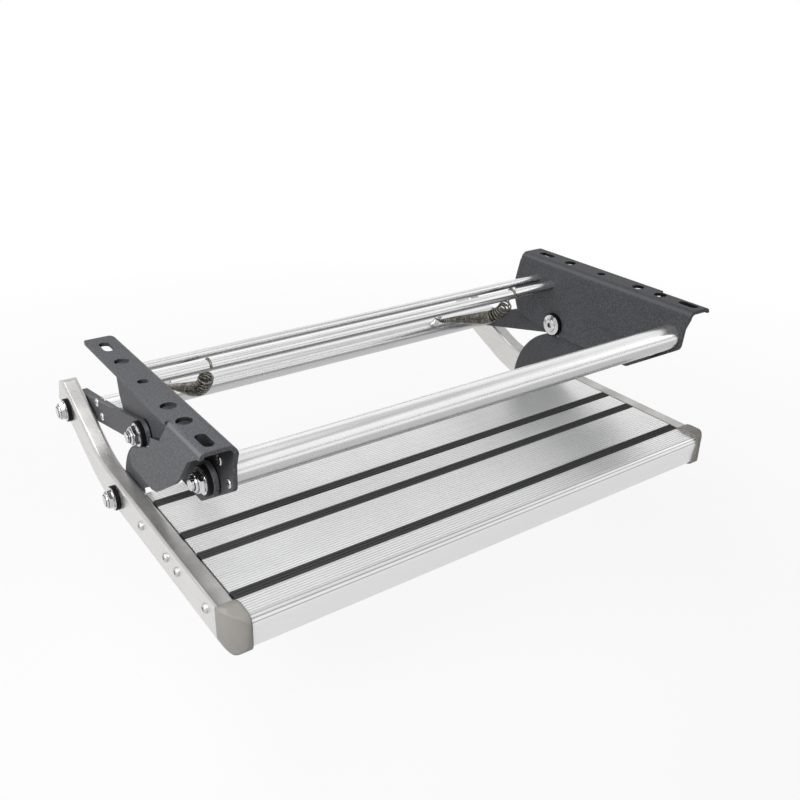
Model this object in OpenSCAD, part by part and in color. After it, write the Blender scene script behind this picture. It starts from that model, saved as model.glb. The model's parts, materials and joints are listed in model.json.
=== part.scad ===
// Folding entry step for a caravan or motorhome, in its stowed position.
// Frame: X to the right, Y to the rear, Z up, millimetres. The origin lies on the
// mounting plane under the vehicle floor, midway between the four round mounting holes.

/* [Overall] */
// Width over the outer faces of the two rails
step_w = 550; // [500:1:600]
// Height from the tread top up to the mounting plane when stowed
stow_drop = 133.2; // [125:0.1:150]
// Running clearance of a pin in its bush, on the radius
pin_clear = 0.05; // [0.02:0.01:0.1]
// Gap between pieces that move past each other
gap = 0.3; // [0.2:0.05:0.5]

/* [Bracket] */
// Thickness of the bracket sheet
sheet_t = 3.5; // [3:0.1:4]
// Length of the top flange, front to rear
flange_len = 249; // [244:1:256]
// Width of the bracket over plate and ear
bracket_w = 30.5; // [28:0.5:34]
// Height of the inner plate
plate_h = 84.2; // [82:0.1:88]
// Outer radius of the bend between plate and flange
bend_r = 8.5; // [6:0.1:10]
// Outer radius of the bend between flange and ear
ear_bend_r = 5.5; // [4.5:0.1:7]
// Distance of the hole row from the outer face of the ear
hole_inset = 12.5; // [10:0.5:14]
// Diameter of the round mounting holes
mount_d = 13; // [11:0.1:14]
// Diameter of the middle hole
pilot_d = 9; // [7:0.1:11]
// Width of the mounting slots
slot_w = 9; // [7:0.1:11]
// Length of the mounting slots, end to end
slot_len = 22; // [18:0.5:26]
// Front slot centre from the front edge
slot_front = 17.4; // [15:0.1:20]
// Rear slot centre from the front edge
slot_rear = 224; // [215:0.1:230]
// Front round hole from the front edge
spare_hole = 53.4; // [50:0.1:56]
// Front mounting hole from the front edge
mount_front = 83.6; // [78:0.1:90]
// Middle hole from the front edge
pilot_hole = 137; // [120:0.1:150]
// Rear mounting hole from the front edge
mount_rear = 185.6; // [175:0.1:195]
// Length of the edge where the ear hangs from the flange
ear_top_len = 60; // [55:0.5:65]

/* [Pivots] */
// Front pivot behind the front edge of the flange
front_pivot_run = 42; // [40:0.1:44]
// Front pivot below the mounting plane
front_pivot_drop = 47.7; // [46:0.1:50]
// Rear pivot behind the front edge of the flange
rear_pivot_run = 185; // [183:0.1:187]
// Rear pivot below the mounting plane
rear_pivot_drop = 71.7; // [70:0.1:74]
// Diameter of the pivot bolts
bolt_d = 10; // [9:0.5:11]
// Wall of the nylon bushes
bush_wall = 1.5; // [1.2:0.1:2]
// Diameter of the bush flanges on the links
bush_flange_d = 25; // [23:0.5:26]
// Diameter of the bush flanges on the inner side of the bracket
inner_flange_d = 27; // [25:0.5:28]
// Diameter of the bush flanges on the rail
rail_flange_d = 24; // [22:0.5:25]
// Diameter of the flanged bolt heads
pivot_head_d = 24; // [22:0.5:25]
// Diameter of the flanged head on the lower pivot
lower_head_d = 20; // [18:0.5:22]
// Diameter of the washers
washer_d = 22; // [20:0.5:23]
// Thickness of the washers
washer_t = 1; // [0.8:0.1:2]
// Width across flats of the lock nuts
nut_af = 17; // [15:0.5:18]
// Height of the hexagon of a lock nut
nut_h = 4.5; // [4:0.1:8]
// Height of the round collar of a lock nut
collar_h = 2; // [1.5:0.1:4]
// Length of bolt that stands out of its nut on the bracket
bolt_tail = 2.5; // [1:0.1:4]
// Length of bolt that stands out of its nut on the rail
rail_bolt_tail = 0.5; // [0.2:0.1:4]

/* [Rails] */
// Width of the rail tube
rail_w = 17; // [16:0.5:19]
// Height of the rail tube
rail_h = 34; // [33:0.5:35]
// Wall of the rail tube
rail_wall = 2; // [1.5:0.1:2.5]
// Outer corner radius of the rail tube
rail_round = 3.2; // [3:0.1:6]
// Front end of the rail behind the front edge of the flange
rail_start = 1; // [0:0.1:2]
// Length from the front end to the corner of the bend
rail_run = 264.7; // [262:0.1:268]
// Angle by which the rear of the rail rises
rail_rise = 24.3; // [23:0.1:25]
// Bend radius on the centre line of the rail
rail_bend_r = 120; // [100:1:140]
// Distance from the bend's corner up to the upper pivot
upper_pivot_run = 93.6; // [91:0.1:96]
// Length of the rail beyond the upper pivot
rail_tail = 31.5; // [28:0.5:34]
// Lower pivot behind the back edge of the tread
lower_pivot_back = 34.5; // [33:0.1:36]

/* [Links] */
// Thickness of the link sheet
link_t = 4; // [3.5:0.1:4.5]
// Gap between bracket plate and link, filled by a bush flange
link_gap = 1.5; // [1.2:0.1:2.5]
// Gap between link and rail, filled by a bush flange
rail_gap = 2; // [1.5:0.1:3]
// Height of the rear link
rear_link_h = 24.6; // [23.5:0.1:25.5]
// Length of the rear link beyond the upper pivot
rear_link_tail = 28; // [24:0.5:30]
// Width of the folded edge at the tip of the rear link
fold_w = 10; // [9:0.5:12]
// Start of the folded edge from the rear pivot
fold_start = 76; // [75:1:85]
// Radius of the lobes of the front link
front_lobe_r = 14; // [13:0.1:15]
// Clearance of the front link under the rear link
link_clear = 0.6; // [0.4:0.1:1]
// Clearance of the front link round the eye of the rear link
scallop_clear = 5.2; // [4.5:0.1:6]
// Radius of the bow at the rear of the front link
bow_r = 84; // [82:0.5:86]

/* [Tubes and rods] */
// Diameter of the front cross tube
front_tube_d = 25; // [23:0.5:26]
// Wall of the cross tubes
tube_wall = 2; // [1.5:0.1:3]
// Front cross tube behind the front edge of the flange
front_tube_run = 20.5; // [18:0.1:22]
// Front cross tube below the mounting plane
front_tube_drop = 32.2; // [30:0.1:34]
// Diameter of the rear cross tube
rear_tube_d = 24.5; // [23:0.5:25]
// Rear cross tube along the rear link from the rear pivot
rear_tube_along = 123.2; // [118:0.1:126]
// Rear cross tube above the centre line of the rear link
rear_tube_lift = 2.9; // [2:0.1:4]
// Diameter of the upper rod
upper_rod_d = 9; // [8:0.1:10]
// Diameter of the lower rod
lower_rod_d = 11; // [10:0.1:12]
// Upper rod behind the front edge of the flange
upper_rod_run = 218; // [215:0.1:222]
// Upper rod below the mounting plane
upper_rod_drop = 23.9; // [21:0.1:26]
// Lower rod behind the front edge of the flange
lower_rod_run = 196.3; // [194:0.1:199]
// Lower rod below the mounting plane
lower_rod_drop = 27; // [24:0.1:30]

/* [Tread] */
// Depth of the tread, nose to back edge
tread_depth = 214; // [205:0.5:216]
// Thickness of the tread extrusion
tread_t = 33; // [30:0.5:34]
// Overhang of the nose in front of the rails
nose_len = 28; // [24:0.5:32]
// Wall of the extrusion
skin_t = 2; // [1.5:0.1:2.5]
// Pitch of the fine ribs
rib_pitch = 3; // [2.5:0.1:4]
// Depth of the grooves between the ribs
rib_depth = 0.6; // [0.4:0.05:0.9]
// Width of the grooves between the ribs
groove_w = 1.5; // [1:0.1:2]
// Width of the grip strips
strip_w = 10; // [8:0.5:12]
// Depth of the strip channels
channel_depth = 2.6; // [2:0.1:3]
// Height of the strips above the ribs
strip_proud = 0.6; // [0.3:0.1:1]
// Height of the screw row below the tread top
screw_drop = 13.3; // [12:0.1:16]
// Diameter of the tread screws
screw_d = 4; // [3:0.1:5]
// Diameter of the pan heads
head_d = 8.4; // [7:0.1:9]

/* [Springs] */
// Diameter of the spring wire
wire_d = 1.9; // [1.5:0.1:2]
// Outer diameter of the spring body
spring_d = 15; // [13:0.5:16]
// Turns of the spring
spring_turns = 38; // [24:1:38]
// Distance of the left spring's hook from the middle
left_hook_x = 183; // [175:1:195]
// Distance of the right spring's hook from the middle
right_hook_x = 187; // [175:1:195]
// Distance of the left spring post from the middle
left_post_x = 190; // [175:1:200]
// Distance of the right spring post from the middle
right_post_x = 159; // [150:1:185]
// Diameter of the spring posts
post_d = 8; // [7:0.1:9]
// Height of the spring posts above the tube
post_h = 11; // [9:0.1:12]

/* [Hidden] */
$fn = 64;

POWDER = [0.17, 0.18, 0.20];
ANODISED = [0.78, 0.78, 0.76];
STAINLESS = [0.85, 0.85, 0.86];
NYLON = [0.06, 0.06, 0.07];
RUBBER = [0.12, 0.12, 0.12];
CAP_GREY = [0.63, 0.61, 0.57];
SPRING_STEEL = [0.45, 0.42, 0.36];

// Layers across the width, measured from the middle to the right.
rail_x = step_w / 2 - rail_w;
link_out_x = rail_x - rail_gap;
link_in_x = link_out_x - link_t;
plate_out_x = link_in_x - link_gap;
plate_in_x = plate_out_x - sheet_t;
ear_out_x = plate_in_x + bracket_w;
ear_in_x = ear_out_x - sheet_t;
hole_row_x = ear_out_x - hole_inset;

// Front edge of the flange, from the origin between the mounting holes.
front_y = -(mount_front + mount_rear) / 2;

// Pivots and cross members as [y, z].
front_pivot = [front_y + front_pivot_run, -front_pivot_drop];
rear_pivot = [front_y + rear_pivot_run, -rear_pivot_drop];
front_tube_at = [front_y + front_tube_run, -front_tube_drop];
upper_rod_at = [front_y + upper_rod_run, -upper_rod_drop];
lower_rod_at = [front_y + lower_rod_run, -lower_rod_drop];

// The step's own frame starts at the front end of the rails, on the tread top.
step_y = front_y + rail_start;
step_z = -stow_drop;
rail_axis_z = -rail_h / 2;
bend_corner = [rail_run, rail_axis_z];
rise_dir = [cos(rail_rise), sin(rail_rise)];
upper_local = bend_corner + upper_pivot_run * rise_dir;
lower_local = [tread_depth - nose_len + lower_pivot_back, rail_axis_z];
upper_pivot = [step_y, step_z] + upper_local;
lower_pivot = [step_y, step_z] + lower_local;

// Lengths and angles of the links, from pivot to pivot.
rear_vec = upper_pivot - rear_pivot;
rear_len = norm(rear_vec);
rear_angle = atan2(rear_vec[1], rear_vec[0]);
front_vec = lower_pivot - front_pivot;
front_len = norm(front_vec);
front_angle = atan2(front_vec[1], front_vec[0]);

bolt_r = bolt_d / 2;
bush_r = bolt_r + pin_clear + bush_wall;
bush_flange_r = bush_flange_d / 2;
rear_link_r = rear_link_h / 2;
front_tube_r = front_tube_d / 2;
rear_tube_r = rear_tube_d / 2;
upper_rod_r = upper_rod_d / 2;
lower_rod_r = lower_rod_d / 2;
screw_r = screw_d / 2;
wire_r = wire_d / 2;
coil_r = (spring_d - wire_d) / 2;
post_r = post_d / 2;

// Points of an arc about c, from angle a0 to a1.
function arc(c, r, a0, a1, n = 8) =
    [for (i = [0:n]) c + r * [cos(a0 + (a1 - a0) * i / n), sin(a0 + (a1 - a0) * i / n)]];

function unit(v) = v / norm(v);

// Corner b of the path a-b-c, replaced by a tangent arc of radius r.
function corner(a, b, c, r) =
    let (
        u = unit(a - b),
        v = unit(c - b),
        half = acos(max(-1, min(1, u * v))) / 2,
        reach = min(r / tan(half), 0.49 * norm(a - b), 0.49 * norm(c - b)),
        rr = reach * tan(half),
        m = b + unit(u + v) * rr / sin(half),
        s = b + u * reach - m,
        e = b + v * reach - m,
        a0 = atan2(s[1], s[0]),
        turn = atan2(e[1], e[0]) - a0,
        sweep = turn > 180 ? turn - 360 : (turn < -180 ? turn + 360 : turn)
    )
    arc(m, rr, a0, a0 + sweep, 6);

// Closed outline from points [x, y, r], where r rounds the point.
function rounded(p) =
    let (n = len(p))
    [for (i = [0:n - 1])
        let (
            a = [p[(i + n - 1) % n][0], p[(i + n - 1) % n][1]],
            b = [p[i][0], p[i][1]],
            c = [p[(i + 1) % n][0], p[(i + 1) % n][1]]
        )
        each (p[i][2] > 0 ? corner(a, b, c, p[i][2]) : [b])];

// Extrudes a [y, z] drawing along X, from x0 over the length len.
module along_x(x0, len) {
    translate([x0, 0, 0]) rotate([90, 0, 90]) linear_extrude(len) children();
}

// Extrudes an [x, z] drawing along Y, from y0 over the length len.
module along_y(y0, len) {
    translate([0, y0 + len, 0]) rotate([90, 0, 0]) linear_extrude(len) children();
}

// Solid round bar on the X direction through at = [y, z].
module bar(at, r, x0, x1) {
    translate([x0, at[0], at[1]]) rotate([0, 90, 0]) cylinder(r = r, h = x1 - x0);
}

// Round tube on the X direction through at = [y, z].
module sleeve(at, r_out, r_in, x0, x1) {
    difference() {
        bar(at, r_out, x0, x1);
        bar(at, r_in, x0 - 1, x1 + 1);
    }
}

// The same piece on the right and, mirrored, on the left.
module both_sides() {
    children();
    mirror([1, 0, 0]) children();
}

// Places a drawing of the step frame in the part's frame.
module in_step() {
    translate([0, step_y, step_z]) children();
}

// Slot of the mounting flange, as a drawing in X and Y.
module slot_outline(run) {
    reach = (slot_len - slot_w) / 2;
    for (s = [-1, 1]) translate([hole_row_x, front_y + run + s * reach]) circle(d = slot_w);
    translate([hole_row_x - slot_w / 2, front_y + run - reach]) square([slot_w, 2 * reach]);
}

// Inner plate of the bracket in [y, z], with its lobe at the rear pivot.
module plate_outline() {
    rear = flange_len;
    lobe_r = 14;
    outline = rounded([
        [0, -bend_r, 0],
        [4.5, -20, 8],
        [6.5, -plate_h + 42, 9],
        [71, -plate_h, 10],
        [rear_pivot_run + 6, -plate_h, 6],
        [rear - 1, -rear_pivot_drop - 3.5, 2],
        [rear + 5, -rear_pivot_drop + 10, 8],
        [rear + 8, -rear_pivot_drop + 36, 25],
        [rear + 1, -bend_r, 0]
    ]);
    translate([front_y, 0]) {
        polygon(outline);
        translate([rear_pivot_run, -rear_pivot_drop]) circle(r = lobe_r);
    }
}

// Outer ear of the bracket in [y, z]: it shields the front link and its nuts.
module ear_outline() {
    outline = rounded([
        [3, -ear_bend_r, 0],
        [22, -16.5, 8],
        [front_pivot_run - 0.6, -front_pivot_drop + 7.8, 8],
        [54.7, -plate_h + 32.8, 8],
        [97, -plate_h + 4.4, 12],
        [108, -plate_h + 1.1, 6],
        [154, -plate_h + 1.5, 3],
        [156.5, -plate_h + 10.8, 6],
        [147.4, -plate_h + 21.6, 8],
        [103.5, -41.8, 6],
        [97, -30.2, 4],
        [77, -24.2, 5],
        [ear_top_len, -ear_bend_r, 0]
    ]);
    translate([front_y, 0]) polygon(outline);
}

// Quarter ring that joins two sheets, in [x, z], about its own centre.
module bend_section(r) {
    difference() {
        circle(r = r);
        circle(r = r - sheet_t);
        translate([-2 * r, -2 * r]) square([4 * r, 2 * r]);
        translate([0, -2 * r]) square([2 * r, 4 * r]);
    }
}

module right_bracket_solid() {
    rear_y = front_y + flange_len;
    corner_r = 2;
    difference() {
        union() {
            along_x(plate_in_x, sheet_t) plate_outline();
            along_y(front_y, flange_len) translate([plate_in_x + bend_r, -bend_r])
                bend_section(bend_r);
            translate([plate_in_x + bend_r, front_y, -sheet_t])
                cube([bracket_w - bend_r - ear_bend_r, flange_len, sheet_t]);
            translate([ear_out_x - ear_bend_r, front_y + ear_top_len, -sheet_t])
                cube([ear_bend_r, flange_len - ear_top_len, sheet_t]);
            along_y(front_y, ear_top_len) translate([ear_out_x - ear_bend_r, -ear_bend_r])
                mirror([1, 0]) bend_section(ear_bend_r);
            along_x(ear_in_x, sheet_t) ear_outline();
        }
        translate([0, 0, -sheet_t - 1]) linear_extrude(sheet_t + 2) {
            slot_outline(slot_front);
            slot_outline(slot_rear);
            for (run = [spare_hole, mount_front, mount_rear])
                translate([hole_row_x, front_y + run]) circle(d = mount_d);
            translate([hole_row_x, front_y + pilot_hole]) circle(d = pilot_d);
        }
        // The rear corner of the flange is rounded in plan.
        translate([ear_out_x - corner_r, rear_y - corner_r, -sheet_t - 1]) difference() {
            cube([corner_r + 1, corner_r + 1, sheet_t + 2]);
            translate([0, 0, -1]) cylinder(r = corner_r, h = sheet_t + 4);
        }
        for (at = [front_pivot, rear_pivot])
            bar(at, bush_r, plate_in_x - 1, plate_out_x + 1);
        bar(upper_rod_at, upper_rod_r, plate_in_x - 1, plate_out_x + 1);
        bar(lower_rod_at, lower_rod_r, plate_in_x - 1, plate_out_x + 1);
        for (s = [-1, 1])
            bar(front_tube_at + s * front_screw_step, screw_r, plate_in_x - 1, plate_out_x + 1);
    }
}

module right_bracket() {
    color(POWDER) right_bracket_solid();
}

module left_bracket() {
    color(POWDER) mirror([1, 0, 0]) right_bracket_solid();
}

// The two screws at a tube's end sit this far from its centre, one to each side.
front_screw_step = [7.2, 6.2];
rear_screw_step = [4.9, 6.5];
tube_screw_len = 16;
boss_r = screw_r + 2;
screw_head_h = 2.4;

// Cross tube with two screw channels along its bore.
module cross_tube(at, r, half, step) {
    difference() {
        union() {
            sleeve(at, r, r - tube_wall, -half, half);
            for (s = [-1, 1]) intersection() {
                bar(at + s * step, boss_r, -half, half);
                bar(at, r - tube_wall / 2, -half, half);
            }
        }
        for (s = [-1, 1])
            bar(at + s * step, screw_r, -half - 1, half + 1);
    }
}

// Raised pan head on the X direction, its flat side at x0 and its crown outwards.
module pan_head(at, x0, d, h) {
    translate([x0, at[0], at[1]]) rotate([0, 90, 0]) difference() {
        rotate_extrude() polygon(concat(
            [[0, 0], [d / 2, 0]],
            arc([d / 2 - h * 0.7, h * 0.3], h * 0.7, 0, 90, 4),
            [[0, h]]
        ));
        for (a = [0, 90]) rotate([0, 0, a])
            translate([-d * 0.28, -d * 0.06, h * 0.35]) cube([d * 0.56, d * 0.12, h]);
    }
}

module front_cross_tube() {
    color(ANODISED) cross_tube(front_tube_at, front_tube_r, plate_in_x, front_screw_step);
}

module front_tube_screws() {
    color(STAINLESS) both_sides() for (s = [-1, 1]) {
        at = front_tube_at + s * front_screw_step;
        bar(at, screw_r, plate_in_x - tube_screw_len, plate_out_x);
        // The head is low enough to pass under the front link.
        pan_head(at, plate_out_x, head_d, link_gap - gap);
    }
}

// The rods are riveted through both bracket plates.
module upper_rod() {
    color(STAINLESS) bar(upper_rod_at, upper_rod_r, -plate_out_x, plate_out_x);
}

module lower_rod() {
    color(STAINLESS) bar(lower_rod_at, lower_rod_r, -plate_out_x, plate_out_x);
}

// Bolt head with a wide flange and a hexagon recess, its seat at x0, crown inwards.
module flanged_head(at, x0, r, h) {
    translate([x0, at[0], at[1]]) rotate([0, -90, 0]) difference() {
        rotate_extrude() polygon(concat(
            [[0, 0], [r, 0], [r, h * 0.3]],
            arc([r * 0.62 - h * 0.4, h * 0.6], h * 0.4, 0, 90, 4),
            [[0, h]]
        ));
        translate([0, 0, h * 0.35]) cylinder(r = r * 0.28, h = h, $fn = 6);
    }
}

// Lock nut from x0 outwards, with the bolt's end through it.
module lock_nut(at, x0) {
    difference() {
        union() {
            translate([x0, at[0], at[1]]) rotate([0, 90, 0]) intersection() {
                cylinder(d = nut_af / cos(30), h = nut_h, $fn = 6);
                rotate_extrude() polygon([
                    [0, 0],
                    [nut_af * 0.5, 0],
                    [nut_af * 0.58, nut_af * 0.05],
                    [nut_af * 0.58, nut_h - nut_af * 0.05],
                    [nut_af * 0.5, nut_h],
                    [0, nut_h]
                ]);
            }
            translate([x0, at[0], at[1]]) rotate([0, 90, 0]) rotate_extrude() polygon(concat(
                [[0, 0], [nut_af * 0.44, 0]],
                arc([nut_af * 0.44 - 1.5, nut_h + collar_h - 1.5], 1.5, 0, 90, 4),
                [[0, nut_h + collar_h]]
            ));
        }
        bar(at, bolt_r, x0 - 1, x0 + nut_h + collar_h + 1);
    }
}

// Layers of the pivots on the bracket, from the middle outwards.
inner_flange_t = 4;
outer_flange_t = 4;
head_h = 3.6;
bracket_washer_x = link_out_x + outer_flange_t;
bracket_nut_x = bracket_washer_x + washer_t;
bracket_bolt_end = bracket_nut_x + nut_h + collar_h + bolt_tail;

module bracket_pivot_bolts() {
    color(STAINLESS) both_sides() for (at = [front_pivot, rear_pivot]) {
        bar(at, bolt_r, plate_in_x - inner_flange_t, bracket_bolt_end);
        flanged_head(at, plate_in_x - inner_flange_t, pivot_head_d / 2, head_h);
    }
}

module bracket_pivot_bushes() {
    color(NYLON) both_sides() for (at = [front_pivot, rear_pivot]) {
        sleeve(at, bush_r, bolt_r, plate_in_x, plate_out_x);
        sleeve(at, inner_flange_d / 2, bolt_r, plate_in_x - inner_flange_t, plate_in_x);
    }
}

module bracket_pivot_washers() {
    color(STAINLESS) both_sides() for (at = [front_pivot, rear_pivot])
        sleeve(at, washer_d / 2, bolt_r, bracket_washer_x, bracket_nut_x);
}

module bracket_pivot_nuts() {
    color(STAINLESS) both_sides() for (at = [front_pivot, rear_pivot])
        lock_nut(at, bracket_nut_x);
}

// Flanged bush in the eye of a link, with a loose flange on its outer side.
module eye_bush(at, inner_r) {
    bore_r = bolt_r + pin_clear;
    sleeve(at, inner_r, bore_r, plate_out_x, link_in_x);
    sleeve(at, bush_r, bore_r, link_in_x, link_out_x);
    sleeve(at, bush_flange_r, bore_r, link_out_x, bracket_washer_x);
}

// Rear link drawn along its own line in [y, z], with the rear pivot at the origin.
module rear_link_solid() {
    tip = rear_len + rear_link_tail;
    bend = link_t + 1;
    translate([0, rear_pivot[0], rear_pivot[1]]) rotate([rear_angle, 0, 0]) difference() {
        union() {
            along_x(link_in_x, link_t) {
                circle(r = rear_link_r);
                polygon(rounded([
                    [0, -rear_link_r, 0],
                    [tip, -rear_link_r, 4],
                    [tip, rear_link_r - bend, 0],
                    [fold_start, rear_link_r - bend, 0],
                    [fold_start, rear_link_r, 0],
                    [0, rear_link_r, 0]
                ]));
            }
            intersection() {
                union() {
                    translate([link_out_x - fold_w, fold_start, rear_link_r - link_t])
                        cube([fold_w - bend, tip - fold_start, link_t]);
                    along_y(fold_start, tip - fold_start)
                        translate([link_out_x - bend, rear_link_r - bend]) difference() {
                            circle(r = bend);
                            circle(r = bend - link_t);
                            translate([-2 * bend, -2 * bend]) square([4 * bend, 2 * bend]);
                            translate([-2 * bend, -2 * bend]) square([2 * bend, 4 * bend]);
                        }
                }
                // The folded edge widens from the sheet's thickness to the tip.
                linear_extrude(rear_link_h) polygon([
                    [link_out_x + 1, fold_start - 1],
                    [link_in_x, fold_start - 1],
                    [link_in_x, fold_start],
                    [link_out_x - fold_w, tip],
                    [link_out_x - fold_w, tip + 1],
                    [link_out_x + 1, tip + 1]
                ]);
            }
        }
        bar([0, 0], bush_r, link_in_x - 1, link_out_x + 1);
        bar([rear_len, 0], bolt_r, link_in_x - 1, link_out_x + 1);
        // The folded edge is notched where the cross tube lies.
        bar([rear_tube_along, rear_tube_lift], rear_tube_r, link_in_x - fold_w, link_in_x);
        for (s = [-1, 1])
            bar([rear_tube_along, rear_tube_lift] + s * rear_screw_step, screw_r,
                link_in_x - 1, link_out_x + 1);
    }
}

// Moves what is drawn in the rear link's frame into place.
module in_rear_link() {
    translate([0, rear_pivot[0], rear_pivot[1]]) rotate([rear_angle, 0, 0]) children();
}

module right_rear_link() {
    color(POWDER) rear_link_solid();
}

module left_rear_link() {
    color(POWDER) mirror([1, 0, 0]) rear_link_solid();
}

module rear_cross_tube() {
    color(ANODISED) in_rear_link() difference() {
        cross_tube([rear_tube_along, rear_tube_lift], rear_tube_r, link_in_x, rear_screw_step);
        // Seats of the two spring posts.
        post_pair(0);
    }
}

module rear_tube_screws() {
    color(STAINLESS) in_rear_link() both_sides() for (s = [-1, 1]) {
        at = [rear_tube_along, rear_tube_lift] + s * rear_screw_step;
        bar(at, screw_r, link_in_x - tube_screw_len, link_out_x);
        // The head is low enough to pass inside the rail.
        pan_head(at, link_out_x, head_d, rail_gap - gap);
    }
}

// Direction of the spring posts round the tube, in the rear link's frame.
post_angle = 135;

// Height of the groove that holds the spring, above the tube.
groove_h = post_h - 2.5;

// Radius of the spring's loop in the groove, and of the groove's neck.
neck_r = post_r - 1;
loop_r = neck_r + gap + wire_r;

// The two posts as plain pins from the tube's bore out to the given height.
module post_pair(h) {
    for (x = [-left_post_x, right_post_x])
        translate([x, rear_tube_along, rear_tube_lift])
            rotate([post_angle - 90, 0, 0])
                translate([0, 0, rear_tube_r - tube_wall])
                    cylinder(r = post_r, h = tube_wall + max(h, 1));
}

// Spring post with a groove under its head.
module spring_posts() {
    color(STAINLESS) in_rear_link() difference() {
        post_pair(post_h);
        for (x = [-left_post_x, right_post_x])
            translate([x, rear_tube_along, rear_tube_lift]) rotate([post_angle - 90, 0, 0])
                translate([0, 0, rear_tube_r + groove_h]) rotate_extrude()
                    translate([loop_r, 0]) circle(r = wire_r + gap, $fn = 24);
    }
}

module rear_link_bushes() {
    color(NYLON) both_sides() eye_bush(rear_pivot, bush_flange_r);
}

// Layers of the pivots on the rail, from the middle outwards.
rail_flange_t = 4;
rail_washer_x = step_w / 2 + rail_flange_t;
rail_nut_x = rail_washer_x + washer_t;
rail_bolt_end = rail_nut_x + nut_h + collar_h + rail_bolt_tail;

module upper_pivot_bolts() {
    color(STAINLESS) both_sides() {
        bar(upper_pivot, bolt_r, link_in_x, rail_bolt_end);
        flanged_head(upper_pivot, link_in_x, rear_link_r - link_t - 1.4, head_h);
    }
}

module upper_pivot_washers() {
    color(STAINLESS) both_sides()
        sleeve(upper_pivot, washer_d / 2, bolt_r, rail_washer_x, rail_nut_x);
}

module upper_pivot_nuts() {
    color(STAINLESS) both_sides() rail_nut(upper_pivot);
}

// Nut on a rail pivot: the bolt's end fits flush with its collar.
module rail_nut(at) {
    lock_nut(at, rail_nut_x);
}

// Front link in its own frame: front pivot at the origin, lower pivot on the x axis.
// A straight arm rises to a knee, and a round bow leads down round the lower pivot.
heel_r = 12;
bow_end = 34.5;
bow_reach = 45.8;
module front_link_outline() {
    rear_eye = rotate_back(rear_pivot - front_pivot, front_angle);
    // The bow runs tangent to a line just under the rear link.
    tilt = rear_angle - front_angle;
    under_link = rear_eye * [-sin(tilt), cos(tilt)] - rear_link_r - link_clear;
    bow_x = front_len + bow_reach - bow_r;
    bow_at = [bow_x, (under_link - bow_r + sin(tilt) * bow_x) / cos(tilt)];
    heel = bow_at + (bow_r - heel_r) * [cos(bow_end), sin(bow_end)];
    knee_angle = 118.8;
    heel_vec = heel - [front_len, 0];
    // Direction of the common tangent of lobe and heel.
    under = atan2(heel_vec[1], heel_vec[0]) - 90 + asin((front_lobe_r - heel_r) / norm(heel_vec));
    difference() {
        polygon(concat(
            arc([0, 0], front_lobe_r, 100, 290, 16),
            corner([8, -12], [34, 3.5], [front_len - 50, 3], 30),
            corner([34, 3.5], [front_len - 17, 1.6], [front_len - 14, -3], 4),
            arc([front_len, 0], front_lobe_r, 200, 360 + under, 8),
            arc(heel, heel_r, under, bow_end, 10),
            arc(bow_at, bow_r, bow_end, knee_angle, 24)
        ));
        // Scallop that clears the eye of the rear link.
        translate(rear_eye) circle(r = rear_link_r + scallop_clear);
    }
}

// Vector v turned back by the angle a.
function rotate_back(v, a) = [v[0] * cos(a) + v[1] * sin(a), -v[0] * sin(a) + v[1] * cos(a)];

module front_link_solid() {
    translate([0, front_pivot[0], front_pivot[1]]) rotate([front_angle, 0, 0]) difference() {
        along_x(link_in_x, link_t) front_link_outline();
        bar([0, 0], bush_r, link_in_x - 1, link_out_x + 1);
        bar([front_len, 0], bolt_r, link_in_x - 1, link_out_x + 1);
    }
}

module right_front_link() {
    color(POWDER) front_link_solid();
}

module left_front_link() {
    color(POWDER) mirror([1, 0, 0]) front_link_solid();
}

module front_link_bushes() {
    color(NYLON) both_sides() {
        eye_bush(front_pivot, bush_flange_r);
        sleeve(lower_pivot, rail_flange_d / 2, bolt_r, link_out_x, split_x - gap / 2);
    }
}

// The lower pivot pin is parted here, between link and rail.
split_x = rail_x - 0.4 * rail_gap;

module lower_pivot_heads() {
    color(STAINLESS) both_sides() {
        bar(lower_pivot, bolt_r, link_in_x, split_x - gap / 2);
        flanged_head(lower_pivot, link_in_x, lower_head_d / 2, head_h);
    }
}

// Bush through a rail, with a thick flange on the outer face.
module rail_bush(at, bore_r, inner_x) {
    sleeve(at, rail_flange_d / 2, bore_r, inner_x, rail_x);
    sleeve(at, bush_r, bore_r, rail_x, step_w / 2);
    sleeve(at, rail_flange_d / 2, bore_r, step_w / 2, rail_washer_x);
}

module upper_rail_bushes() {
    color(NYLON) both_sides()
        rail_bush(upper_pivot, bolt_r + pin_clear, link_out_x);
}

module lower_rail_bushes() {
    color(NYLON) both_sides()
        rail_bush(lower_pivot, bolt_r, split_x + gap / 2);
}

module lower_pivot_bolts() {
    color(STAINLESS) both_sides()
        bar(lower_pivot, bolt_r, split_x + gap / 2, rail_bolt_end);
}

module lower_pivot_washers() {
    color(STAINLESS) both_sides()
        sleeve(lower_pivot, washer_d / 2, bolt_r, rail_washer_x, rail_nut_x);
}

module lower_pivot_nuts() {
    color(STAINLESS) both_sides() rail_nut(lower_pivot);
}

// Rounded rectangle about its middle.
module rounded_box(w, h, r) {
    polygon(rounded([
        [-w / 2, -h / 2, r],
        [w / 2, -h / 2, r],
        [w / 2, h / 2, r],
        [-w / 2, h / 2, r]
    ]));
}

// Section of the rail tube, upright.
module rail_section() {
    difference() {
        rounded_box(rail_w, rail_h, rail_round);
        rounded_box(rail_w - 2 * rail_wall, rail_h - 2 * rail_wall, rail_round - rail_wall);
    }
}

// Screw positions along the rail, from its front end.
screw_runs = [19, 75, 99, 156];
screw_reach = 14;

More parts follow.
